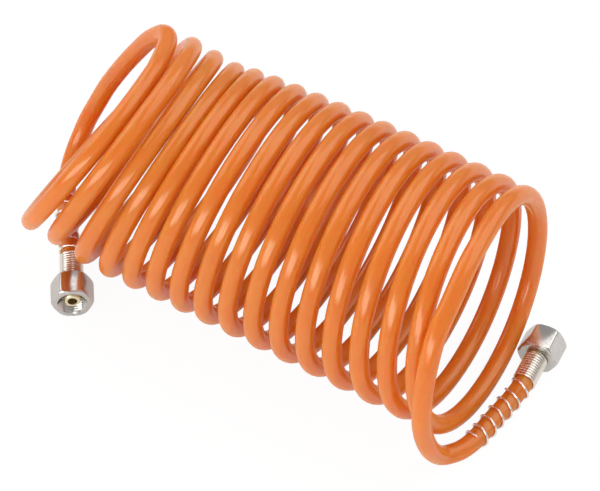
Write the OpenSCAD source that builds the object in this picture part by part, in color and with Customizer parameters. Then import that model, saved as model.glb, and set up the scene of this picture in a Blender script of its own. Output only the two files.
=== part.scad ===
// Coiled air hose with a swivel nut and a spring guard at each end.
// Millimetres. It lies on z = 0 with the coil's axis along X, near side towards -Y.

/* [Hose] */
// Outside diameter of the hose
hose_d = 8; // [7.5:0.25:8.5]
// Bore of the hose
hose_bore = 5; // [4.5:0.25:5.5]

/* [Coil] */
// Turns of the coil
turns = 16; // [12:1:20]
// Radius of the turns, at the hose's centre line
coil_r = 52; // [48:1:56]
// Room between one turn and the next, along the coil
turn_gap = 4.3; // [4.2:0.1:6]
// Growth of the turns' spacing, from the middle outwards, per turn
gap_growth = 0.148; // [0.1:0.004:0.152]
// Sideways lean of the middle turn, tops towards +X, as a slope
lean_middle = 0.164; // [0.1:0.004:0.2]
// Lean lost from each turn to the next
lean_step = 0.033; // [0.001:0.004:0.033]
// Added lean of the very first turn
lean_first = 0.22; // [0.1:0.01:0.22]
// Twist of the middle turn about the vertical, as a slope
turn_twist = 0.028; // [0:0.004:0.04]
// Added twist of the first and the last turn
end_twist = 0.048; // [0:0.004:0.052]
// Height that the first turns are held up, on the left end beneath them
first_lift = 14.2; // [13:0.2:15]
// Shift of the first turns towards the near side
first_shift = 4; // [0:0.5:6]
// Step of the first turn away from the second
first_spread = 6; // [4:0.5:8]
// Depth of the flat where each turn lies on the table
table_flat = 0.8; // [0.4:0.1:1]

/* [Swivel nut] */
// Width of the nut across its flats
nut_af = 17; // [16:0.5:19]
// Length of the nut
nut_len = 12.5; // [12.5:0.5:16]
// Bore of the nut, at the crests of its thread
thread_d = 11.8; // [11.6:0.1:12.2]
// Width of the nut's mouth
mouth_d = 13.4; // [13:0.2:14.4]
// Thickness of the nut's rear wall, which turns on the neck
rear_wall = 2.6; // [2:0.1:3]
// Width over the nut's rounded corners
nut_over_corners = 19.2; // [18.6:0.1:19.4]
// Width of the round flat that the chamfer leaves on each end
nut_face_d = 15.6; // [15:0.2:16]

/* [Tailpiece] */
// Diameter of the neck that the nut turns on
neck_d = 8.9; // [8.7:0.1:9.5]
// Room between the neck and the nut, per side
running_gap = 0.05; // [0.02:0.01:0.09]
// Diameter of the collar that holds the nut
collar_d = 11; // [10.4:0.1:11]
// Thickness of the collar
collar_len = 1.5; // [1:0.1:2]
// Travel left between the collar and the nut's rear wall
nut_float = 2.6; // [1.6:0.1:3]
// Diameter of the nose
nose_d = 7.4; // [7:0.1:8.2]
// Length of the nose in front of its cone
nose_len = 1.2; // [0.8:0.1:1.6]
// Bore of the nose
nose_bore = 4.4; // [4:0.1:5]
// Bore through the barbed stem
stem_bore = 3.6; // [3:0.1:3.8]
// Number of barbs
barbs = 3; // [2:1:4]
// Stretch of the hose's bore on the stem's root, per side
stem_stretch = 0.1; // [0:0.05:0.2]
// Height of each barb
barb_height = 0.4; // [0.2:0.05:0.5]
// Length of hose pushed onto the stem
sleeve_len = 10.8; // [9:0.2:14]
// Bare neck between the hose and the nut
neck_show = 1.2; // [1:0.1:2]

/* [Spring guard] */
// Wire diameter
wire_d = 1.2; // [1:0.1:1.4]
// Swell of the hose where it is pushed onto the barbs, per side
barb_swell = 0.2; // [0.1:0.05:0.3]
// Close turns, over the barbs
close_turns = 7; // [5:1:8]
// Room between close turns
close_gap = 0.45; // [0.45:0.05:0.7]
// Open turns, round the free hose
open_turns = 5; // [3:0.5:6]
// Pitch of the open turns
open_pitch = 6; // [4.5:0.25:7]

/* [Hidden] */
$fn = 64;

// The free leads lie in loose curves, which follow no rule, so their points are chosen.
// x counts from the coil's own end, y and z from the coil's axis and the table.
left_route = [[-8, 24.5, 101.5], [-15, 32, 97], [-24.5, 35, 86], [-31.6, 36.3, 75],
              [-37.9, 35.8, 64.5], [-44.2, 34.7, 53], [-48.7, 32.8, 43.7], [-52.3, 29.4, 34],
              [-54.7, 25.3, 26.3], [-56, 20.8, 19], [-56.2, 15.6, 13.2], [-55.2, 10, 8.9],
              [-53.2, 4.7, 6.4], [-50.5, -0.1, 5.6], [-47.2, -5.1, 5.5], [-43.2, -10.8, 5.5],
              [-39, -16.8, 5.5], [-34.2, -23, 6]];
right_route = [[2, -20, 105.6], [3, -33, 98.7], [3.6, -45, 91], [4.4, -52.4, 81],
               [5.2, -57.5, 68], [5.5, -58.8, 52.5], [5.4, -56.6, 37.5], [5.8, -52.3, 24],
               [6, -46.4, 12.8], [7.4, -41, 6.2], [11.6, -34.6, 5.2], [14, -27.6, 5.3],
               [15, -20.5, 5.6], [15.5, -13.2, 5.6], [16.2, -6, 5.7], [17, 1, 6.1]];
// Where each hose is pushed onto its stem, and the way its nut then points.
left_seat = [-21.7, -37.7];
left_heading = -54;
right_seat = [17.4, 12.5];
right_heading = 97;

LOOP_RINGS = 24;
CURL_RINGS = 8;
ROUND_SIDES = 6;
LEAD_SIDES = 10;
LEAD_RINGS = 2;

function unit(v) = v / norm(v);
function smooth(t) = let (c = min(1, max(0, t))) c * c * (3 - 2 * c);
// Distance from centre to corner of a polygon with as much area as a circle of radius r.
function corner_r(r, sides) = r * sqrt(PI / (sides / 2 * sin(360 / sides)));

// ---- the coil's law ----
hose_r = hose_d / 2;
coil_corner = corner_r(hose_r, ROUND_SIDES);
pitch = hose_d + turn_gap;
LEAN_TURNS = 6;
LIFT_FROM = 0.4;
LIFT_TO = 3;
SPREAD_TURNS = 0.6;

function lean(u) = lean_middle - lean_step * (u - turns / 2)
    + lean_first * pow(max(0, 1 - u / LEAN_TURNS), 2);
function twist(u) = turn_twist + end_twist * pow(2 * u / turns - 1, 2);
function loop_x(u) = let (n = u - turns / 2) pitch * n + gap_growth / 2 * n * n
    - first_spread * pow(max(0, SPREAD_TURNS - u), 2);
// How much of a turn's place comes from the left end that it lies on.
function held_up(u) = smooth((LIFT_TO - u) / (LIFT_TO - LIFT_FROM));
function loop_z(u) = let (flat_r = coil_r / sqrt(1 + pow(lean(u), 2)))
    coil_corner - table_flat + flat_r + first_lift * held_up(u);
function loop_centre(u) = [loop_x(u), -first_shift * held_up(u), loop_z(u)];
// A turn starts at its top and goes over the near side, the bottom and the far side.
function coil_point(u) = let (k = lean(u), upright = 1 / sqrt(1 + k * k), a = 360 * u)
    loop_centre(u) + coil_r * [k * upright * cos(a) + twist(u) * sin(a), -sin(a), upright * cos(a)];
STEP = 1 / 1000;
function coil_way(u) = unit(coil_point(u + STEP) - coil_point(u - STEP));

coil_start = coil_point(0) - hose_d * coil_way(0);
coil_end = coil_point(turns) + hose_d * coil_way(turns);
coil_rings = turns * LOOP_RINGS;
coil_path = concat([coil_start], [for (i = [0 : coil_rings]) coil_point(i / LOOP_RINGS)], [coil_end]);
coil_ways = concat([coil_way(0)], [for (i = [0 : coil_rings]) coil_way(i / LOOP_RINGS)], [coil_way(turns)]);
// One corner of each ring points away from the loop's centre, so flats face the next turns.
coil_outs = concat([coil_point(0) - loop_centre(0)],
                   [for (i = [0 : coil_rings]) let (u = i / LOOP_RINGS) coil_point(u) - loop_centre(u)],
                   [coil_point(turns) - loop_centre(turns)]);

// ---- tubes ----
function square_to(v, way) = unit(v - (v * way) * way);
function ring(centre, way, out, r, sides) = let (n = square_to(out, way), b = cross(way, n))
    [for (k = [0 : sides - 1]) centre + r * (cos(360 * k / sides) * n + sin(360 * k / sides) * b)];
function tube_points(path, ways, outs, r, sides) =
    [for (i = [0 : len(path) - 1]) each ring(path[i], ways[i], outs[i], r, sides)];
function tube_faces(rings, sides) = concat(
    [for (k = [1 : sides - 2]) [0, k, k + 1]],
    [for (i = [0 : rings - 2], k = [0 : sides - 1], half = [0, 1])
        let (a = i * sides, b = a + sides, n = (k + 1) % sides)
        half == 0 ? [a + k, b + k, b + n] : [a + k, b + n, a + n]],
    [for (k = [1 : sides - 2]) let (e = (rings - 1) * sides) [e, e + k + 1, e + k]]);

module tube(path, ways, outs, r, sides) {
    polyhedron(tube_points(path, ways, outs, r, sides), tube_faces(len(path), sides), convexity = 10);
}

// ---- the free leads ----
// A curve through the points p, by the two on either side of each stretch.
function bend(p, i, t) = let (m0 = (p[i + 1] - p[i - 1]) / 2, m1 = (p[i + 2] - p[i]) / 2)
    (2 * t * t * t - 3 * t * t + 1) * p[i] + (t * t * t - 2 * t * t + t) * m0
    + (3 * t * t - 2 * t * t * t) * p[i + 1] + (t * t * t - t * t) * m1;
function bent_path(p, parts) = concat(
    [for (i = [1 : len(p) - 3], j = [0 : parts - 1]) bend(p, i, j / parts)], [p[len(p) - 2]]);
function path_ways(p, first, last) = [for (i = [0 : len(p) - 1])
    i == 0 ? first : i == len(p) - 1 ? last : unit(unit(p[i + 1] - p[i]) + unit(p[i] - p[i - 1]))];
// Each ring's first corner follows the one before it, so the tube has no twist.
function carried(ways, start) = [for (i = 0, n = square_to(start, ways[0]); i < len(ways);
    i = i + 1, n = i < len(ways) ? square_to(n, ways[i]) : n) n];

// Length over which each lead runs straight into its fitting.
STRAIGHT = 4;
seat_z = nut_af / 2;
function heading(a) = [cos(a), sin(a), 0];
function seat_of(end, seat) = [end[0] + seat[0], seat[1], seat_z];
left_seat_point = seat_of([coil_point(0)[0], 0, 0], left_seat);
right_seat_point = seat_of([coil_point(turns)[0], 0, 0], right_seat);

function lead_points(top, top_way, base_x, route, seat_point, way) = concat(
    [top - 2 * hose_d * top_way, top], [for (p = route) [base_x + p[0], p[1], p[2]]],
    [seat_point - STRAIGHT * way, seat_point + STRAIGHT * way]);
left_points = lead_points(coil_start, -coil_way(0), coil_point(0)[0], left_route,
                          left_seat_point, heading(left_heading));
right_points = lead_points(coil_end, coil_way(turns), coil_point(turns)[0], right_route,
                           right_seat_point, heading(right_heading));
left_path = concat(bent_path(left_points, LEAD_RINGS), [left_seat_point]);
right_path = concat(bent_path(right_points, LEAD_RINGS), [right_seat_point]);
left_ways = path_ways(left_path, -coil_way(0), heading(left_heading));
right_ways = path_ways(right_path, coil_way(turns), heading(right_heading));
lead_corner = corner_r(hose_r, LEAD_SIDES);

// ---- swivel nut, tailpiece and sleeve, along z from the seat to the mouth ----
nut_rear = sleeve_len + neck_show;
nut_mouth = nut_rear + nut_len;
float_end = nut_rear + rear_wall;
collar_rear = float_end + nut_float;
CONE_SLOPE = tan(30);
nose_rear = collar_rear + collar_len + (collar_d - nose_d) / 2 / CONE_SLOPE;
nose_face = nose_rear + nose_len;
neck_r = neck_d / 2;
stem_r = hose_bore / 2 + stem_stretch;
stem_end = 1;
nose_bore_end = nut_rear;
sleeve_r = hose_r + barb_swell;
EDGE = 0.4;
BORE_EDGE = 0.3;
nut_corner = nut_af / 2 / cos(30);
nut_round_r = nut_over_corners / 2;
chamfer_len = (nut_round_r - nut_face_d / 2) * tan(30);
mouth_len = (mouth_d - thread_d) / 2;

// Outside of the barbed stem: each barb rises away from the tip and drops square.
barb_len = (sleeve_len - stem_end) / (barbs + 1);
barb_line = concat([for (i = [0 : barbs - 1]) each [[stem_r, stem_end + i * barb_len],
                                                     [stem_r + barb_height, stem_end + (i + 0.8) * barb_len],
                                                     [stem_r, stem_end + (i + 0.8) * barb_len]]],
                   [[stem_r, sleeve_len]]);

module tailpiece() {
    color("gold") rotate_extrude() polygon(concat(
        [[stem_bore / 2, stem_end]], barb_line,
        [[neck_r, sleeve_len], [neck_r, collar_rear], [collar_d / 2, collar_rear],
         [collar_d / 2, collar_rear + collar_len], [nose_d / 2, nose_rear],
         [nose_d / 2, nose_face - EDGE], [nose_d / 2 - EDGE, nose_face],
         [nose_bore / 2, nose_face], [nose_bore / 2, nose_bore_end], [stem_bore / 2, nose_bore_end]]));
}

module sleeve() {
    color("darkorange") rotate_extrude() polygon(concat(
        [[hose_bore / 2, 0], [hose_bore / 2, stem_end]], barb_line,
        [[sleeve_r, sleeve_len], [sleeve_r, 0]]));
}

module swivel_nut() {
    color("silver") difference() {
        intersection() {
            translate([0, 0, nut_rear]) rotate(30) cylinder(h = nut_len, r = nut_corner, $fn = 6);
            rotate_extrude() polygon([[0, nut_rear], [nut_face_d / 2, nut_rear],
                                      [nut_round_r, nut_rear + chamfer_len],
                                      [nut_round_r, nut_mouth - chamfer_len],
                                      [nut_face_d / 2, nut_mouth], [0, nut_mouth]]);
        }
        translate([0, 0, float_end]) cylinder(h = nut_len, d = thread_d);
        translate([0, 0, nut_mouth - mouth_len]) cylinder(h = mouth_len, d1 = thread_d, d2 = mouth_d);
        translate([0, 0, nut_rear - 1]) cylinder(h = rear_wall + 2, r = neck_r + running_gap);
        translate([0, 0, nut_rear]) cylinder(h = BORE_EDGE, r1 = neck_r + running_gap + BORE_EDGE,
                                             r2 = neck_r + running_gap);
    }
}

// ---- spring guard ----
guard_r = sleeve_r + wire_d / 2;
wire_corner = corner_r(wire_d / 2, ROUND_SIDES);
close_pitch = wire_d + close_gap;
GUARD_SETBACK = wire_d / 2 + 0.2;
guard_turns = close_turns + open_turns + 2;
guard_rings = guard_turns * CURL_RINGS;
// The rings stand half a step off the vertical, so a flat of each curl meets the table.
RING_TURN = 180 / CURL_RINGS;
ring_r = guard_r / cos(RING_TURN);
// The last turn closes up partly, for its end sits on a bend of the hose.
LAST_OPEN = 0.35;
function guard_pitch(t) = close_pitch + (open_pitch - close_pitch)
    * smooth(t - close_turns) * (LAST_OPEN + (1 - LAST_OPEN) * smooth(guard_turns - t));
guard_along = [for (i = 0, a = 0; i <= guard_rings; i = i + 1,
    a = a + guard_pitch((i - 0.5) / CURL_RINGS) / CURL_RINGS) a];

// Lengths from the far end of a lead's path back to each of its points.
function lengths_back(p) = let (n = len(p) - 1)
    [for (i = 0, s = 0; i <= n; i = i + 1, s = s + (i <= n ? norm(p[n - i] - p[n - i + 1]) : 0)) s];
function stretch_of(back, s, i = 0) = i >= len(back) - 2 || back[i + 1] >= s ? i : stretch_of(back, s, i + 1);
function back_along(p, back, s) = let (i = stretch_of(back, s), n = len(p) - 1,
    t = (s - back[i]) / (back[i + 1] - back[i])) p[n - i] + t * (p[n - i - 1] - p[n - i]);
function guard_centre(p, back, seat_point, way, a) = let (h = sleeve_len - GUARD_SETBACK - a)
    h >= 0 ? seat_point + h * way : back_along(p, back, -h);
function guard_path(p, seat_point, way) = let (back = lengths_back(p))
    [for (i = [0 : guard_rings])
        let (c = guard_centre(p, back, seat_point, way, guard_along[i]),
             ahead = guard_centre(p, back, seat_point, way, guard_along[i] - wire_d),
             behind = guard_centre(p, back, seat_point, way, guard_along[i] + wire_d),
             w = unit(ahead - behind), up = square_to([0, 0, 1], w), side = cross(w, up),
             a = 360 * i / CURL_RINGS + RING_TURN)
        [c, cos(a) * up + sin(a) * side]];
function guard_line(g) = [for (q = g) q[0] + ring_r * q[1]];

left_guard = guard_path(left_path, left_seat_point, heading(left_heading));
right_guard = guard_path(right_path, right_seat_point, heading(right_heading));

module spring_guard(g) {
    line = guard_line(g);
    ways = path_ways(line, unit(line[1] - line[0]), unit(line[guard_rings] - line[guard_rings - 1]));
    color("lightgrey") tube(line, ways, [for (q = g) q[1]], wire_corner, ROUND_SIDES);
}

// ---- the object's middle, for its origin ----
function nut_ends(seat_point, a) = [for (h = [nut_rear + chamfer_len, nut_mouth - chamfer_len], s = [-1, 1])
    seat_point + h * heading(a) + s * nut_round_r * heading(a + 90)];
function nut_faces(seat_point, a) = [for (h = [nut_rear, nut_mouth], s = [-1, 1])
    seat_point + h * heading(a) + s * nut_face_d / 2 * heading(a + 90)];
outline = concat(
    tube_points(coil_path, coil_ways, coil_outs, coil_corner, ROUND_SIDES),
    tube_points(left_path, left_ways, carried(left_ways, [1, 0, 0]), lead_corner, LEAD_SIDES),
    tube_points(right_path, right_ways, carried(right_ways, [1, 0, 0]), lead_corner, LEAD_SIDES),
    guard_line(left_guard), guard_line(right_guard),
    nut_ends(left_seat_point, left_heading), nut_faces(left_seat_point, left_heading),
    nut_ends(right_seat_point, right_heading), nut_faces(right_seat_point, right_heading));
function middle(axis) = let (v = [for (p = outline) p[axis]]) (min(v) + max(v)) / 2;
origin = [middle(0), middle(1), 0];

// ---- least gaps, printed ----
// Least distance of a tube's middle line to itself, apart from its own next half turn.
function own_gap(p, per_turn, d) = min([for (i = [0 : len(p) - 1 - round(0.6 * per_turn)])
    min([for (j = [i + round(0.6 * per_turn) : min(len(p) - 1, i + round(1.4 * per_turn))])
        norm(p[i] - p[j])])]) - d;
coil_fine = [for (i = [0 : turns * 48]) coil_point(i / 48)];
echo(coil_least_gap = own_gap(coil_fine, 48, hose_d));
echo(left_guard_least_gap = own_gap(guard_line(left_guard), CURL_RINGS, wire_d));
echo(right_guard_least_gap = own_gap(guard_line(right_guard), CURL_RINGS, wire_d));
echo(origin = origin, left_seat = left_seat_point - origin, right_seat = right_seat_point - origin);

module at_end(seat_point, a) {
    translate(seat_point) rotate([0, 90, a]) children();
}

module hose_coil() {
    color("darkorange") translate(-origin) difference() {
        tube(coil_path, coil_ways, coil_outs, coil_corner, ROUND_SIDES);
        translate([loop_x(0) - coil_r, -2 * coil_r, -hose_d])
            cube([loop_x(turns) - loop_x(0) + 2 * coil_r, 4 * coil_r, hose_d]);
    }
}

module hose_lead_left() {
    color("darkorange") translate(-origin)
        tube(left_path, left_ways, carried(left_ways, [1, 0, 0]), lead_corner, LEAD_SIDES);
}

module hose_lead_right() {
    color("darkorange") translate(-origin)
        tube(right_path, right_ways, carried(right_ways, [1, 0, 0]), lead_corner, LEAD_SIDES);
}

module hose_end_left() {
    translate(-origin) at_end(left_seat_point, left_heading) sleeve();
}

module hose_end_right() {
    translate(-origin) at_end(right_seat_point, right_heading) sleeve();
}

module tailpiece_left() {
    translate(-origin) at_end(left_seat_point, left_heading) tailpiece();
}

module tailpiece_right() {
    translate(-origin) at_end(right_seat_point, right_heading) tailpiece();
}

module swivel_nut_left() {
    translate(-origin) at_end(left_seat_point, left_heading) swivel_nut();
}

module swivel_nut_right() {
    translate(-origin) at_end(right_seat_point, right_heading) swivel_nut();
}

module spring_guard_left() {
    translate(-origin) spring_guard(left_guard);
}

module spring_guard_right() {
    translate(-origin) spring_guard(right_guard);
}

hose_coil();
hose_lead_left();
hose_lead_right();
hose_end_left();
hose_end_right();
tailpiece_left();
tailpiece_right();
swivel_nut_left();
swivel_nut_right();
spring_guard_left();
spring_guard_right();
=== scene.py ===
# %% [markdown]
# # A coiled air hose with two swivel fittings
#
# This lesson dresses a compressed-air hose. On the real object one orange polyurethane tube, about 8 mm
# thick and almost 5.7 m long, is heat-set into sixteen springy turns. Each end is pushed onto a brass
# tailpiece, a nickel-plated nut turns freely on it, and a steel spring keeps the hose from kinking there.
#
# The measured solids come first. They give the place and the size of each piece, and the new pieces are
# built on them.

# %% Load the measured solids
import math

import bpy
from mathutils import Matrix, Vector


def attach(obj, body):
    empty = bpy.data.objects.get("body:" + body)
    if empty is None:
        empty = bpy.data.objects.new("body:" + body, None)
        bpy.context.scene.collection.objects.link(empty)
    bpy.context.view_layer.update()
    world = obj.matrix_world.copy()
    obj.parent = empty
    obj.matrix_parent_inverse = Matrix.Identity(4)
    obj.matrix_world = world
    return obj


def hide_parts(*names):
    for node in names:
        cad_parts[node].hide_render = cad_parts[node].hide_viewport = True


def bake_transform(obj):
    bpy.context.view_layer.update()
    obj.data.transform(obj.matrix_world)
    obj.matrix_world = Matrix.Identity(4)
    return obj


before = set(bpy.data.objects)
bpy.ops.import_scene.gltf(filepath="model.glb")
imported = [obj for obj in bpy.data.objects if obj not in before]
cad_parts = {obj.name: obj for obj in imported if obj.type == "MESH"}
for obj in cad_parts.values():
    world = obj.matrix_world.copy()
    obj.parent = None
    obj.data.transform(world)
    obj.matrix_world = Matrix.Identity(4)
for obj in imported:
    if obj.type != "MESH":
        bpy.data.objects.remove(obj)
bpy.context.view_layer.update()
print("solids:", ", ".join(sorted(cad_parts)))

# %% [markdown]
# ## The camera
#
# The hose is seen from high on its near side, a little from its right end. A long lens from more than a
# metre away keeps the turns almost equal in size from one end of the coil to the other. The camera is
# aimed at the middle of the coil, half way up.

# %% Camera
CAMERA_AIM = Vector((0.01344, -0.00233, 0.050))
CAMERA_AZIMUTH = math.radians(32.01)
CAMERA_HEIGHT = math.radians(49.35)
CAMERA_DISTANCE = 1.346
LENS = 187.2

bpy.ops.object.select_all(action="DESELECT")
bpy.ops.object.camera_add()
camera = bpy.context.object
camera.name = "camera"
camera_way = Vector((math.cos(CAMERA_HEIGHT) * math.sin(CAMERA_AZIMUTH),
                     -math.cos(CAMERA_HEIGHT) * math.cos(CAMERA_AZIMUTH),
                     math.sin(CAMERA_HEIGHT)))
camera.location = CAMERA_AIM + CAMERA_DISTANCE * camera_way
camera.rotation_euler = (-camera_way).to_track_quat("-Z", "Y").to_euler()
camera.data.lens = LENS
camera.data.clip_start = 0.01
bpy.context.scene.camera = camera
print("camera at", [round(c, 3) for c in camera.location])

# %% [markdown]
# ## The line of the hose
#
# A coil like this is a helix that has settled under its own weight: each turn leans a little, the lean
# changes from one end to the other, and the first turns are held up by the fitting that lies beneath
# them. Points placed by hand would never be that even. A short law with the turn number as its only
# variable gives all of it, so it is written down once, as a function.

# %% The coil's law
# The hose is drawn 8.5 mm thick, a little over its trade size of 8 mm, so that the turns close up.
HOSE_R = 0.00425
COIL_R = 0.052
TURNS = 16
MIDDLE = TURNS / 2
# The turns lie a little closer together at the left end than at the right.
PITCH = 0.0123
PITCH_GROWTH = 0.000074
# The lean is the slope of a turn, along x for its height. It falls from turn to turn.
MIDDLE_LEAN = 0.164
LEAN_FALL = 0.033
FIRST_LEAN = 0.22
FIRST_LEAN_TURNS = 6
# A turn is also twisted about the vertical, most at both ends of the coil.
MIDDLE_TWIST = 0.028
END_TWIST = 0.048
# The first turns are lifted and pushed to the front, which fades out by turn HELD_TURNS.
FIRST_LIFT = 0.0142
FIRST_SHIFT = 0.004
HELD_TURNS = 3
HELD_FADE = 2.6
# The start of the first turn is drawn away from the others.
FIRST_SPREAD = 0.006
SPREAD_TURNS = 0.6
# From the coil's own middle to the middle of the whole object.
SHIFT = Vector((0.002249, 0.003218, 0))
NEXT_TURN = 0.001


def smooth(t):
    """A soft step from 0 to 1."""
    t = min(1.0, max(0.0, t))
    return t * t * (3 - 2 * t)


def coil_point(turn):
    """The middle of the hose at a turn, from 0 at the coil's left end to TURNS at its right end."""
    n = turn - MIDDLE
    angle = 2 * math.pi * turn
    lean = MIDDLE_LEAN - LEAN_FALL * n + FIRST_LEAN * max(0.0, 1 - turn / FIRST_LEAN_TURNS) ** 2
    twist = MIDDLE_TWIST + END_TWIST * (n / MIDDLE) ** 2
    upright = 1 / math.sqrt(1 + lean * lean)
    held = smooth((HELD_TURNS - turn) / HELD_FADE)
    x = PITCH * n + PITCH_GROWTH * n * n - FIRST_SPREAD * max(0.0, SPREAD_TURNS - turn) ** 2
    return Vector((x + COIL_R * (lean * upright * math.cos(angle) + twist * math.sin(angle)),
                   -FIRST_SHIFT * held - COIL_R * math.sin(angle),
                   HOSE_R + FIRST_LIFT * held + COIL_R * upright * (1 + math.cos(angle)))) + SHIFT


def coil_way(turn):
    """The way the hose runs at a turn."""
    return (coil_point(turn + NEXT_TURN) - coil_point(turn - NEXT_TURN)).normalized()


print("coil from x", round(coil_point(0).x, 4), "to", round(coil_point(TURNS).x, 4))

# %% [markdown]
# The two free ends follow no law. They are smooth curves through chosen points, laid as the hose would lie
# on a table: the left one comes down at the back and runs forward, the right one comes down at the front
# and runs back. Their x counts from the end of the coil that they belong to. Each ends in a fitting that
# lies on a flat of its nut, so a point and one angle are enough to place it.

# %% The two free ends
NUT_AF = 0.017
SEAT_Z = NUT_AF / 2
LEFT_ROUTE = [(-0.008, 0.0245, 0.1015), (-0.015, 0.032, 0.097), (-0.0245, 0.035, 0.086),
              (-0.0316, 0.0363, 0.075), (-0.0379, 0.0358, 0.0645), (-0.0442, 0.0347, 0.053),
              (-0.0487, 0.0328, 0.0437), (-0.0523, 0.0294, 0.034), (-0.0547, 0.0253, 0.0263),
              (-0.056, 0.0208, 0.019), (-0.0562, 0.0156, 0.0132), (-0.0552, 0.01, 0.0089),
              (-0.0532, 0.0047, 0.0064), (-0.0505, -0.0001, 0.0056), (-0.0472, -0.0051, 0.0055),
              (-0.0432, -0.0108, 0.0055), (-0.039, -0.0168, 0.0055), (-0.0342, -0.023, 0.006)]
RIGHT_ROUTE = [(0.002, -0.02, 0.1056), (0.003, -0.033, 0.0987), (0.0036, -0.045, 0.091),
               (0.0044, -0.0524, 0.081), (0.0052, -0.0575, 0.068), (0.0055, -0.0588, 0.0525),
               (0.0054, -0.0566, 0.0375), (0.0058, -0.0523, 0.024), (0.006, -0.0464, 0.0128),
               (0.0074, -0.041, 0.0062), (0.0116, -0.0346, 0.0052), (0.014, -0.0276, 0.0053),
               (0.015, -0.0205, 0.0056), (0.0155, -0.0132, 0.0056), (0.0162, -0.006, 0.0057),
               (0.017, 0.001, 0.0061)]


class Fitting:
    """Where the hose is pushed onto its stem, and the way the nut points."""

    def __init__(self, side, base_x, x, y, degrees):
        self.side = side
        self.seat = Vector((base_x + x, y + SHIFT.y, SEAT_Z))
        self.turn = math.radians(degrees)
        self.way = Vector((math.cos(self.turn), math.sin(self.turn), 0))

    def at(self, h):
        """The point on the fitting's axis that lies h in front of its seat."""
        return self.seat + h * self.way


left = Fitting("left", coil_point(0).x, x=-0.0217, y=-0.0377, degrees=-54)
right = Fitting("right", coil_point(TURNS).x, x=0.0174, y=0.0125, degrees=97)
print("left seat", [round(c, 4) for c in left.seat], "right seat", [round(c, 4) for c in right.seat])

# %% [markdown]
# A smooth curve through a row of points needs a direction at each of them. Taking it from the two
# neighbours gives a gentle line with no kinks. The last stretch before each fitting is straight, as the
# stiff stem inside holds it.

# %% Smooth lines through the points
LINE_PARTS = 8
STRAIGHT = 0.004
STRAIGHT_PARTS = 6
RUN_OUT = 2 * HOSE_R


def smooth_line(points, parts):
    """A curve from the second point to the last but one, in parts between each two of them."""
    line = []
    for before, start, end, after in zip(points, points[1:], points[2:], points[3:]):
        start_way = (end - before) / 2
        end_way = (after - start) / 2
        for i in range(parts):
            t = i / parts
            line.append((2 * t ** 3 - 3 * t ** 2 + 1) * start + (t ** 3 - 2 * t ** 2 + t) * start_way
                        + (3 * t ** 2 - 2 * t ** 3) * end + (t ** 3 - t ** 2) * end_way)
    return line + [points[-2]]


def free_end(top, top_way, base_x, route, fitting):
    """The hose's line from beside the coil, by way of a route, to the seat of a fitting."""
    points = [top - 2 * RUN_OUT * top_way, top]
    points += [Vector((base_x + x, y + SHIFT.y, z)) for x, y, z in route]
    points += [fitting.at(-STRAIGHT), fitting.at(STRAIGHT)]
    straight = [fitting.at(-STRAIGHT * (1 - i / STRAIGHT_PARTS)) for i in range(1, STRAIGHT_PARTS + 1)]
    return smooth_line(points, LINE_PARTS) + straight


def length(line):
    """The length of a line of points."""
    return sum((b - a).length for a, b in zip(line, line[1:]))


coil_start = coil_point(0) - RUN_OUT * coil_way(0)
coil_end = coil_point(TURNS) + RUN_OUT * coil_way(TURNS)
left_line = free_end(coil_start, -coil_way(0), coil_point(0).x, LEFT_ROUTE, left)
right_line = free_end(coil_end, coil_way(TURNS), coil_point(TURNS).x, RIGHT_ROUTE, right)
print("free ends in mm:", round(1000 * length(left_line)), round(1000 * length(right_line)))

# %% [markdown]
# ## Materials
#
# Four finishes cover the whole object: glossy orange polyurethane, turned brass, nickel plate and bright
# spring wire. None of them is perfectly even. A shared group makes fine handling wear, a soft unevenness
# with small marks in it, and each material takes as much of it as it needs, so all the finishes look as
# if they had the same life.

# %% The shared wear group
def set_inputs(node, values):
    """Type values into a node's inputs, by their names."""
    for name, value in values.items():
        node.inputs[name].default_value = value


def make_wear_group():
    group = bpy.data.node_groups.new("handling wear", "ShaderNodeTree")
    for name, value in (("Scale", 300.0), ("Least Roughness", 0.2), ("Most Roughness", 0.3)):
        socket = group.interface.new_socket(name, in_out="INPUT", socket_type="NodeSocketFloat")
        socket.default_value = value
    for name in ("Roughness", "Height", "Mask"):
        group.interface.new_socket(name, in_out="OUTPUT", socket_type="NodeSocketFloat")
    nodes, links = group.nodes, group.links
    given, out = nodes.new("NodeGroupInput"), nodes.new("NodeGroupOutput")
    place = nodes.new("ShaderNodeTexCoord")
    cloud = nodes.new("ShaderNodeTexNoise")
    set_inputs(cloud, {"Detail": 6, "Roughness": 0.6})
    marks = nodes.new("ShaderNodeMapRange")
    set_inputs(marks, {"From Min": 0.35, "From Max": 0.7})
    rough = nodes.new("ShaderNodeMapRange")
    links.new(place.outputs["Object"], cloud.inputs["Vector"])
    links.new(given.outputs["Scale"], cloud.inputs["Scale"])
    links.new(cloud.outputs["Fac"], marks.inputs["Value"])
    links.new(marks.outputs["Result"], rough.inputs["Value"])
    links.new(given.outputs["Least Roughness"], rough.inputs["To Min"])
    links.new(given.outputs["Most Roughness"], rough.inputs["To Max"])
    links.new(rough.outputs["Result"], out.inputs["Roughness"])
    links.new(cloud.outputs["Fac"], out.inputs["Height"])
    links.new(marks.outputs["Result"], out.inputs["Mask"])
    return group


wear_group = make_wear_group()
print("group:", wear_group.name)

# %% [markdown]
# The group gives out only masks and values. Each material keeps a Principled shader of its own, and one
# function joins the two for all four finishes. The scale says how fine the wear is: it is about the number
# of its clouds in a metre. The bump stays very low, because handling polishes more than it dents.

# %% A worn material, ready for its own colours
BUMP_HEIGHT = 0.0002


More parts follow.
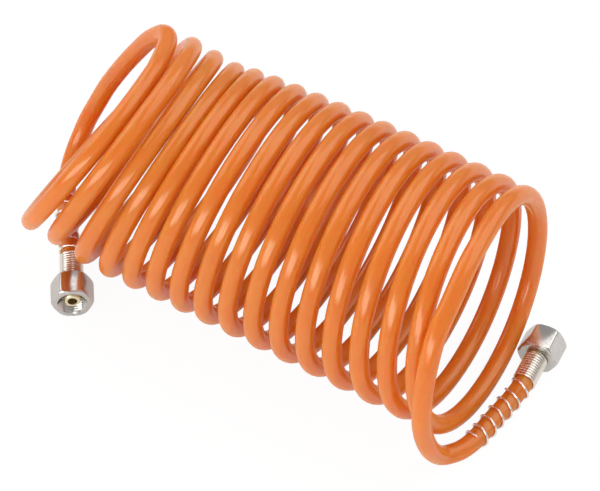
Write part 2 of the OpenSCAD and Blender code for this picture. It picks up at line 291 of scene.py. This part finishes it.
def worn_material(name, colours, scale, roughness, bump):
    """Two colours mixed by the wear group's mask, its roughness and a little of its bump."""
    material = bpy.data.materials.new(name)
    material.use_nodes = True
    nodes, links = material.node_tree.nodes, material.node_tree.links
    shader = nodes["Principled BSDF"]
    wear = nodes.new("ShaderNodeGroup")
    wear.node_tree = wear_group
    set_inputs(wear, {"Scale": scale, "Least Roughness": roughness[0], "Most Roughness": roughness[1]})
    tint = nodes.new("ShaderNodeMix")
    tint.data_type = "RGBA"
    set_inputs(tint, {"A": (*colours[0], 1), "B": (*colours[1], 1)})
    bumps = nodes.new("ShaderNodeBump")
    set_inputs(bumps, {"Strength": bump, "Distance": BUMP_HEIGHT})
    links.new(wear.outputs["Mask"], tint.inputs["Factor"])
    links.new(tint.outputs["Result"], shader.inputs["Base Color"])
    links.new(wear.outputs["Roughness"], shader.inputs["Roughness"])
    links.new(wear.outputs["Height"], bumps.inputs["Height"])
    links.new(bumps.outputs["Normal"], shader.inputs["Normal"])
    return material, shader


# %% [markdown]
# Polyurethane hose is dyed right through and lets some light in. That is why its shaded side stays a
# deep warm red instead of going grey. Subsurface scattering with a long red radius gives that glow, and
# a smooth clear surface on top gives the long soft highlights. Mirror light fades towards the rims, so
# that a turn's edge stays orange next to its neighbour.

# %% Orange polyurethane
hose_orange, shader = worn_material("orange polyurethane", [(0.745, 0.23, 0.022), (0.715, 0.206, 0.018)],
                                    scale=60, roughness=(0.16, 0.22), bump=0.03)
set_inputs(shader, {"Subsurface Weight": 1, "Subsurface Radius": (1.0, 0.16, 0.04),
                    "Subsurface Scale": 0.014, "IOR": 1.5, "Specular Tint": (1, 0.88, 0.7, 1)})
nodes, links = hose_orange.node_tree.nodes, hose_orange.node_tree.links
slope = nodes.new("ShaderNodeLayerWeight")
shine = nodes.new("ShaderNodeMapRange")
set_inputs(shine, {"From Min": 0.35, "From Max": 0.85, "To Min": 0.85, "To Max": 0.05})
links.new(slope.outputs["Facing"], shine.inputs["Value"])
links.new(shine.outputs["Result"], shader.inputs["Specular IOR Level"])
print("made", hose_orange.name)

# %% [markdown]
# Bare metal shows only what it mirrors, tinted by its own colour, so little more than colour and roughness
# tells one metal from another. The nickel is the greyest, the brass keeps the dull sheen of a fine cut, and
# the hard drawn wire is the smoothest.

# %% Metals
def worn_metal(name, colours, scale, roughness, bump):
    """A worn material that is all metal."""
    material, shader = worn_material(name, colours, scale, roughness, bump)
    shader.inputs["Metallic"].default_value = 1
    return material


nickel = worn_metal("nickel plate", [(0.67, 0.65, 0.62), (0.58, 0.56, 0.53)],
                    scale=900, roughness=(0.12, 0.22), bump=0.03)
brass = worn_metal("turned brass", [(0.97, 0.88, 0.62), (0.90, 0.80, 0.52)],
                   scale=1200, roughness=(0.25, 0.38), bump=0.04)
spring_steel = worn_metal("spring steel", [(0.92, 0.88, 0.80), (0.84, 0.80, 0.72)],
                          scale=1500, roughness=(0.1, 0.2), bump=0.03)
print("made", ", ".join(m.name for m in (nickel, brass, spring_steel)))

# %% [markdown]
# ## Wound pieces
#
# The hose and the two springs are all one round section carried along a line. A curve with a round bevel
# does exactly that, and turning it into a mesh leaves one ring of points for each point of the line.
# Those rings stay in order.

# %% A round section along a line
def wound(name, line, radius, bevel):
    """A closed tube along a line. A higher bevel gives it more sides."""
    bpy.ops.object.select_all(action="DESELECT")
    bpy.ops.curve.primitive_nurbs_path_add()
    piece = bpy.context.object
    piece.name = name
    curve = piece.data
    curve.splines.clear()
    spline = curve.splines.new("POLY")
    spline.points.add(len(line) - 1)
    for point, p in zip(spline.points, line):
        point.co = (*p, 1)
    curve.dimensions = "3D"
    curve.bevel_depth = radius
    curve.bevel_resolution = bevel
    curve.use_fill_caps = True
    bpy.ops.object.convert(target="MESH")
    bpy.ops.object.shade_smooth()
    bpy.ops.object.transform_apply(location=True, rotation=True, scale=True)
    return bpy.context.object


def give(piece, material):
    """One material all over a piece."""
    piece.data.materials.clear()
    piece.data.materials.append(material)


# %% [markdown]
# ## The hose
#
# The whole hose is one unbroken tube, from the left fitting through all sixteen turns to the right one.
# It is equally thick all along, also where it is pushed onto the tailpieces. Seventy-two rings to a turn
# keep the outline round, even from close by.

# %% One unbroken hose
RINGS_PER_TURN = 72
SLEEVE = 0.0108
SLEEVE_STEPS = 6

sleeve_h = [SLEEVE * (1 - i / SLEEVE_STEPS) for i in range(SLEEVE_STEPS)]
coil_line = [coil_point(i / RINGS_PER_TURN) for i in range(TURNS * RINGS_PER_TURN + 1)]
hose_line = ([left.at(h) for h in sleeve_h] + left_line[::-1] + coil_line + right_line
             + [right.at(h) for h in sleeve_h[::-1]])

hose = wound("hose", hose_line, HOSE_R, bevel=8)
give(hose, hose_orange)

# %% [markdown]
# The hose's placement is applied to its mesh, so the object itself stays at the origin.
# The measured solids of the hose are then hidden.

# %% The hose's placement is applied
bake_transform(hose)


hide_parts("hose_coil", "hose_lead_left", "hose_lead_right", "hose_end_left", "hose_end_right")

# %% [markdown]
# ## The spring guards
#
# Each guard is one steel wire. It is wound tight over the barbs, where its turns touch and look like a
# ribbed sleeve, and then opens out along the free hose, so that it can bend with it. The line of the wire
# is a circle carried back along the hose's own line, with a pitch that changes part of the way.

# %% The line of a guard
WIRE_R = 0.00052
GUARD_R = HOSE_R + WIRE_R
CLOSE_PITCH = 0.00135
OPEN_PITCH = 0.006
CLOSE_TURNS = 10
OPEN_TURNS = 5
# One turn takes the pitch up. One takes it down again, but leaves this share of the rise.
GUARD_TURNS = CLOSE_TURNS + OPEN_TURNS + 2
LAST_PITCH_SHARE = 0.35
WIRE_STEPS = 28
FIRST_ANGLE = math.pi / 8
# The wire starts this far in front of the end of the hose.
HEAD_START = 0.0006
# The way of the hose is measured over twice this stretch, which smooths it.
WAY_REACH = 0.0012


def guard_pitch(turn):
    """The distance to the next turn of the wire."""
    last = LAST_PITCH_SHARE + (1 - LAST_PITCH_SHARE) * smooth(GUARD_TURNS - turn)
    return CLOSE_PITCH + (OPEN_PITCH - CLOSE_PITCH) * smooth(turn - CLOSE_TURNS) * last


def point_back(line, back):
    """The point of line that lies back from its last point, measured along it."""
    for near, far in zip(line[::-1], line[-2::-1]):
        step = (near - far).length
        if back <= step:
            return near.lerp(far, back / step)
        back -= step
    return line[0]


def guard_centre(line, fitting, gone):
    """The middle of the guard where the winding has gone so far back from its start."""
    h = SLEEVE + HEAD_START - gone
    return fitting.at(h) if h >= 0 else point_back(line, -h)


def guard_line(line, fitting):
    """The line of the wire, wound round the hose from the nut backwards."""
    points = []
    gone = 0.0
    for i in range(GUARD_TURNS * WIRE_STEPS + 1):
        ahead = guard_centre(line, fitting, gone - WAY_REACH)
        behind = guard_centre(line, fitting, gone + WAY_REACH)
        way = (ahead - behind).normalized()
        up = (Vector((0, 0, 1)) - way.z * way).normalized()
        angle = 2 * math.pi * i / WIRE_STEPS + FIRST_ANGLE
        spoke = math.cos(angle) * up + math.sin(angle) * way.cross(up)
        points.append(guard_centre(line, fitting, gone) + GUARD_R * spoke)
        gone += guard_pitch((i + 0.5) / WIRE_STEPS) / WIRE_STEPS
    return points


print("a guard:", GUARD_TURNS, "turns, about", round(1000 * 2 * (GUARD_R + WIRE_R), 1), "mm across")

# %% [markdown]
# Both guards come from the same function, each wound on its own end of the hose. A guard is rigid and
# rides with the end that it sits on, and a wire this thin looks round with few sides.

# %% Wind both guards
for line, fitting, body in ((left_line, left, "left_side"), (right_line, right, "right_end")):
    guard = wound("guard_" + fitting.side, guard_line(line, fitting), WIRE_R, bevel=3)
    give(guard, spring_steel)
    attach(guard, body)
    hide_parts("spring_guard_" + fitting.side)
    lowest = min(v.co.z for v in guard.data.vertices)
    print(guard.name, "has", len(guard.data.polygons), "faces, lowest z", round(lowest, 5))

# %% [markdown]
# ## The swivel nuts
#
# Each nut is a hexagon with round shoulders at both ends, where a lathe took the corners off. So its tools
# are turned shapes: a disc is extruded along the axis and sized at each step, as a lathe follows a profile.
# A boolean then keeps what lies both in the hexagon and in the turned shape.

# %% Turned shapes
ROUND = 96
SAME_POINT = 0.000001


def turned(name, profile, solid=True):
    """A shape turned about z through the (radius, height) points of profile.

    A solid one starts as a disc. The other kind is a ring: its profile ends where it started.
    """
    bpy.ops.object.select_all(action="DESELECT")
    r, z = profile[0]
    bpy.ops.mesh.primitive_circle_add(vertices=ROUND, radius=r, location=(0, 0, z),
                                      fill_type="NGON" if solid else "NOTHING")
    bpy.ops.object.editmode_toggle()
    for (r0, z0), (r1, z1) in zip(profile, profile[1:]):
        bpy.ops.mesh.extrude_region_move(TRANSFORM_OT_translate={"value": (0, 0, z1 - z0)})
        bpy.ops.transform.resize(value=(r1 / r0, r1 / r0, 1), center_override=(0, 0, z1))
    bpy.ops.mesh.select_all(action="SELECT")
    if not solid:
        bpy.ops.mesh.remove_doubles(threshold=SAME_POINT)
    bpy.ops.mesh.normals_make_consistent(inside=False)
    bpy.ops.object.editmode_toggle()
    bpy.ops.object.transform_apply(location=True, rotation=True, scale=True)
    bpy.context.object.name = name
    return bpy.context.object


def cut(piece, tool, operation):
    """Apply a boolean to piece and remove the tool."""
    bpy.ops.object.select_all(action="DESELECT")
    bpy.context.view_layer.objects.active = piece
    piece.select_set(True)
    modifier = piece.modifiers.new("cut", "BOOLEAN")
    modifier.operation = operation
    modifier.object = tool
    modifier.solver = "EXACT"
    bpy.ops.object.modifier_apply(modifier=modifier.name)
    bpy.data.objects.remove(tool)


# %% [markdown]
# The blank of the nut is modelled standing on its axis, where each cut is simple. The corners of the
# hexagon reach further out than the turned shape, and there the lathe's round shoulders show. Real nuts
# have the same curved line where each flat runs into them.

# %% The blank of a nut
NUT_REAR = 0.012
NUT_MOUTH = 0.0245
NUT_ROUND_R = 0.0096
NUT_FACE_R = 0.0078
SHOULDER = 0.0017
SHOULDER_STEPS = 5


def nut_blank(name):
    """The hexagon with its shoulders turned."""
    bpy.ops.object.select_all(action="DESELECT")
    depth = NUT_MOUTH - NUT_REAR
    corner_r = NUT_AF / 2 / math.cos(math.pi / 6)
    bpy.ops.mesh.primitive_cylinder_add(vertices=6, radius=corner_r, depth=depth,
                                        location=(0, 0, NUT_REAR + depth / 2))
    nut = bpy.context.object
    nut.name = name
    bpy.ops.object.transform_apply(location=True, rotation=True, scale=True)
    arc = [math.radians(90 / SHOULDER_STEPS * i) for i in range(SHOULDER_STEPS + 1)]
    reach = NUT_ROUND_R - NUT_FACE_R
    rear = [(NUT_FACE_R + reach * math.sin(a), NUT_REAR + SHOULDER * (1 - math.cos(a))) for a in arc]
    front = [(r, NUT_REAR + NUT_MOUTH - z) for r, z in rear[::-1]]
    cut(nut, turned("lathe_shape", rear + front), "INTERSECT")
    return nut


print("nut in mm:", round(1000 * NUT_AF, 1), "across flats,",
      round(1000 * (NUT_MOUTH - NUT_REAR), 1), "long")

# %% [markdown]
# The bore gets a real thread, since one can look into it. Modelling a helix by hand is slow. Here a plain
# ring lines the bore, with many rows of points, and each point moves out and in with its height and its
# angle: that wave is the thread. The wave is made too high and then cut off at both sides, which leaves
# the crests and the roots flat, as on a real one.

# %% The thread in the bore
MOUTH_R = 0.0067
THREAD_R = 0.0059
THREAD_DEPTH = 0.0006
THREAD_PITCH = 0.001337
THREAD_TURNS = 7
THREAD_ROWS = 10
WAVE_GAIN = 1.3
WAVE_FLAT = 0.15
# The ring starts just below the mouth, and reaches a little way into the wall of the nut.
MOUTH_GAP = 0.00002
INTO_WALL = 0.0002
# Points nearer to the axis than this, and above the last row, belong to the thread.
THREAD_LIMIT_R = THREAD_R + 0.6 * THREAD_DEPTH
ROW_GAP = 0.00001


def thread_r(z, angle):
    """How far out the thread is, at a height and an angle."""
    phase = (z / THREAD_PITCH + angle / (2 * math.pi)) % 1
    wave = 1 - abs(2 * phase - 1)
    return THREAD_R + THREAD_DEPTH * min(1.0, max(0.0, WAVE_GAIN * wave - WAVE_FLAT))


def thread_ring(name):
    """A ring that lines the bore: an entry cone, then the thread, closed round its outside."""
    middle_r = THREAD_R + THREAD_DEPTH / 2
    wall_r = MOUTH_R + INTO_WALL
    top = NUT_MOUTH - MOUTH_GAP
    cone_z = NUT_MOUTH - (MOUTH_R - THREAD_R - THREAD_DEPTH / 2)
    steps = range(THREAD_ROWS * THREAD_TURNS + 1)
    rows = [(middle_r, cone_z - i * THREAD_PITCH / THREAD_ROWS) for i in steps]
    bottom = rows[-1][1]
    profile = [(MOUTH_R, top)] + rows + [(wall_r, bottom), (wall_r, top), (MOUTH_R, top)]
    ring = turned(name, profile, solid=False)
    for v in ring.data.vertices:
        r = math.hypot(v.co.x, v.co.y)
        if r < THREAD_LIMIT_R and v.co.z > bottom + ROW_GAP:
            new_r = thread_r(v.co.z, math.atan2(v.co.y, v.co.x))
            v.co.x *= new_r / r
            v.co.y *= new_r / r
    return ring


print("thread:", THREAD_TURNS, "turns in", THREAD_ROWS * THREAD_TURNS, "rows")

# %% [markdown]
# The blank is bored wide from the mouth down to the rear wall, and narrow through that wall, for the neck
# of the tailpiece. A small bevel takes the sharpness off every edge, so that each edge catches a thin line
# of light. The thread is joined in last, because the bevel would spoil it.

# %% One nut, standing on its axis
REAR_WALL = 0.0026
NECK_HOLE_R = 0.0045
OVERCUT = 0.001
EDGE_BEVEL = 0.00025
EDGE_SEGMENTS = 3
BEVEL_FROM = math.radians(25)
SHARP_FROM = math.radians(30)


def make_nut(name):
    nut = nut_blank(name)
    cut(nut, turned("bore_shape", [(MOUTH_R, NUT_REAR + REAR_WALL), (MOUTH_R, NUT_MOUTH + OVERCUT)]),
        "DIFFERENCE")
    cut(nut, turned("neck_shape", [(NECK_HOLE_R, NUT_REAR - OVERCUT), (NECK_HOLE_R, NUT_MOUTH)]),
        "DIFFERENCE")
    bevel = nut.modifiers.new("soft edges", "BEVEL")
    bevel.width = EDGE_BEVEL
    bevel.segments = EDGE_SEGMENTS
    bevel.use_clamp_overlap = False
    bevel.limit_method = "ANGLE"
    bevel.angle_limit = BEVEL_FROM
    bpy.ops.object.modifier_apply(modifier=bevel.name)
    ring = thread_ring(name + "_thread")
    bpy.ops.object.select_all(action="DESELECT")
    ring.select_set(True)
    nut.select_set(True)
    bpy.context.view_layer.objects.active = nut
    bpy.ops.object.join()
    bpy.ops.object.shade_smooth_by_angle(angle=SHARP_FROM)
    return nut


# %% [markdown]
# A finished nut is laid down along x, turned the way its fitting points and moved to its seat. All of that
# is then applied, so the object itself stays at the origin and only its mesh has moved. Each nut rides on
# a body of its own, because it turns freely on its tailpiece.

# %% Both nuts in place
for fitting in (left, right):
    nut = make_nut("nut_" + fitting.side)
    nut.rotation_euler = (0, math.pi / 2, fitting.turn)
    nut.location = fitting.seat
    bpy.ops.object.transform_apply(location=True, rotation=True, scale=True)
    give(nut, nickel)
    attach(nut, "nut_" + fitting.side)
    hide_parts("swivel_nut_" + fitting.side)
    print(nut.name, "has", len(nut.data.polygons), "faces")

# %% [markdown]
# ## The tailpieces
#
# The solids of the tailpieces already have their true turned shape, so they only need brass.

# %% Brass on the tailpieces
for side in ("left", "right"):
    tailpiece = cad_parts["tailpiece_" + side]
    tailpiece.data.materials.clear()
    tailpiece.data.materials.append(brass)
    print(tailpiece.name, "is brass")

# %% [markdown]
# ## The length of the hose
#
# The hose is flexible, and its length is fixed: the length of its line is measured and printed.

print("hose declared:", round(length(hose_line), 2), "m")

# %% [markdown]
# ## Floor and light
#
# The floor is matt and takes the soft shadow under the coil. To the eye it is mostly a plain white glow,
# so that it looks white without more light on the object. Part of that glow also shows in the metal. It
# lights nothing, since a glowing floor would take away the shaded side of the hose.

# %% The white floor
FLOOR_SIZE = 6
FLOOR_DROP = 0.0001
FLOOR_GLOW = 1.03
GLOW_SHARE = 0.92
MIRRORED_SHARE = 0.42


def white_to_the_eye(material):
    """Mix a glow into a matt white: GLOW_SHARE of it for the camera, less in mirrors, none elsewhere."""
    nodes, links = material.node_tree.nodes, material.node_tree.links
    plain = nodes["Principled BSDF"]
    set_inputs(plain, {"Base Color": (0.9, 0.9, 0.9, 1), "Roughness": 0.9, "Specular IOR Level": 0})
    glow = nodes.new("ShaderNodeEmission")
    glow.inputs["Strength"].default_value = FLOOR_GLOW
    path = nodes.new("ShaderNodeLightPath")
    mirrored = nodes.new("ShaderNodeMath")
    mirrored.operation = "MULTIPLY_ADD"
    mirrored.inputs[1].default_value = MIRRORED_SHARE
    amount = nodes.new("ShaderNodeMath")
    amount.operation = "MULTIPLY"
    amount.inputs[1].default_value = GLOW_SHARE
    mix = nodes.new("ShaderNodeMixShader")
    indirect = nodes.new("ShaderNodeMath")
    indirect.operation = "MAXIMUM"
    links.new(path.outputs["Is Glossy Ray"], indirect.inputs[0])
    links.new(path.outputs["Is Transmission Ray"], indirect.inputs[1])
    links.new(indirect.outputs[0], mirrored.inputs[0])
    links.new(path.outputs["Is Camera Ray"], mirrored.inputs[2])
    links.new(mirrored.outputs[0], amount.inputs[0])
    links.new(amount.outputs[0], mix.inputs["Fac"])
    links.new(plain.outputs[0], mix.inputs[1])
    links.new(glow.outputs[0], mix.inputs[2])
    links.new(mix.outputs[0], nodes["Material Output"].inputs["Surface"])


bpy.ops.object.select_all(action="DESELECT")
bpy.ops.mesh.primitive_plane_add(size=FLOOR_SIZE, location=(0, 0, -FLOOR_DROP))
floor = bpy.context.object
floor.name = "floor"
floor_white = bpy.data.materials.new("floor white")
floor_white.use_nodes = True
white_to_the_eye(floor_white)
floor.data.materials.append(floor_white)
print("floor", [round(s, 1) for s in floor.dimensions])

# %% [markdown]
# A wide, low light in front of the coil suits a glossy tube: its reflection is one short cream streak on
# every turn. Two broad lights above the ends fill in the rest. All three face the origin, below the middle
# of the coil, and all are large, since a large light makes a soft shadow.

# %% Soft lights
def soft_light(name, place, width, height, power):
    """A rectangle of light that faces the origin."""
    bpy.ops.object.select_all(action="DESELECT")
    bpy.ops.object.light_add(type="AREA", location=place)
    light = bpy.context.object
    light.name = name
    light.data.shape = "RECTANGLE"
    light.data.size = width
    light.data.size_y = height
    light.data.energy = power
    light.rotation_euler = Vector(place).to_track_quat("Z", "Y").to_euler()


soft_light("front", place=(-0.1, -1.2, 0.49), width=1.7, height=0.48, power=8.6)
soft_light("upper right", place=(0.5, 0.55, 1.05), width=1.5, height=1.5, power=8.6)
soft_light("upper left", place=(-0.95, 0.2, 0.85), width=1.2, height=1.2, power=4.8)

# %% [markdown]
# The room is a plain pale sky. It is brightest a little above the horizon and darker at the horizon itself
# and overhead, which gives the metal its contrast. The camera sees it as plain white, like the floor, so
# that no edge shows between the two.

# %% The room
ROOM_STRENGTH = 0.64
HORIZON_GREY = (0.4, 0.39, 0.38, 1)
WHITE = (1, 1, 1, 1)
CEILING_GREY = (0.58, 0.57, 0.56, 1)

world = bpy.data.worlds.new("studio")
world.use_nodes = True
bpy.context.scene.world = world
nodes, links = world.node_tree.nodes, world.node_tree.links
room = nodes["Background"]
room.inputs["Strength"].default_value = ROOM_STRENGTH
place = nodes.new("ShaderNodeTexCoord")
axes = nodes.new("ShaderNodeSeparateXYZ")
height = nodes.new("ShaderNodeValToRGB")
ramp = height.color_ramp.elements
ramp[0].position = 0.0
ramp[0].color = HORIZON_GREY
ramp[1].position = 0.3
ramp[1].color = WHITE
ceiling = ramp.new(0.7)
ceiling.color = CEILING_GREY
white = nodes.new("ShaderNodeBackground")
set_inputs(white, {"Color": WHITE, "Strength": 1})
path = nodes.new("ShaderNodeLightPath")
mix = nodes.new("ShaderNodeMixShader")
links.new(place.outputs["Generated"], axes.inputs[0])
links.new(axes.outputs["Z"], height.inputs["Fac"])
links.new(height.outputs["Color"], room.inputs["Color"])
links.new(path.outputs["Is Camera Ray"], mix.inputs["Fac"])
links.new(room.outputs[0], mix.inputs[1])
links.new(white.outputs[0], mix.inputs[2])
links.new(mix.outputs[0], nodes["World Output"].inputs["Surface"])
bpy.context.scene.view_settings.view_transform = "Standard"
print("room strength", round(room.inputs["Strength"].default_value, 2))
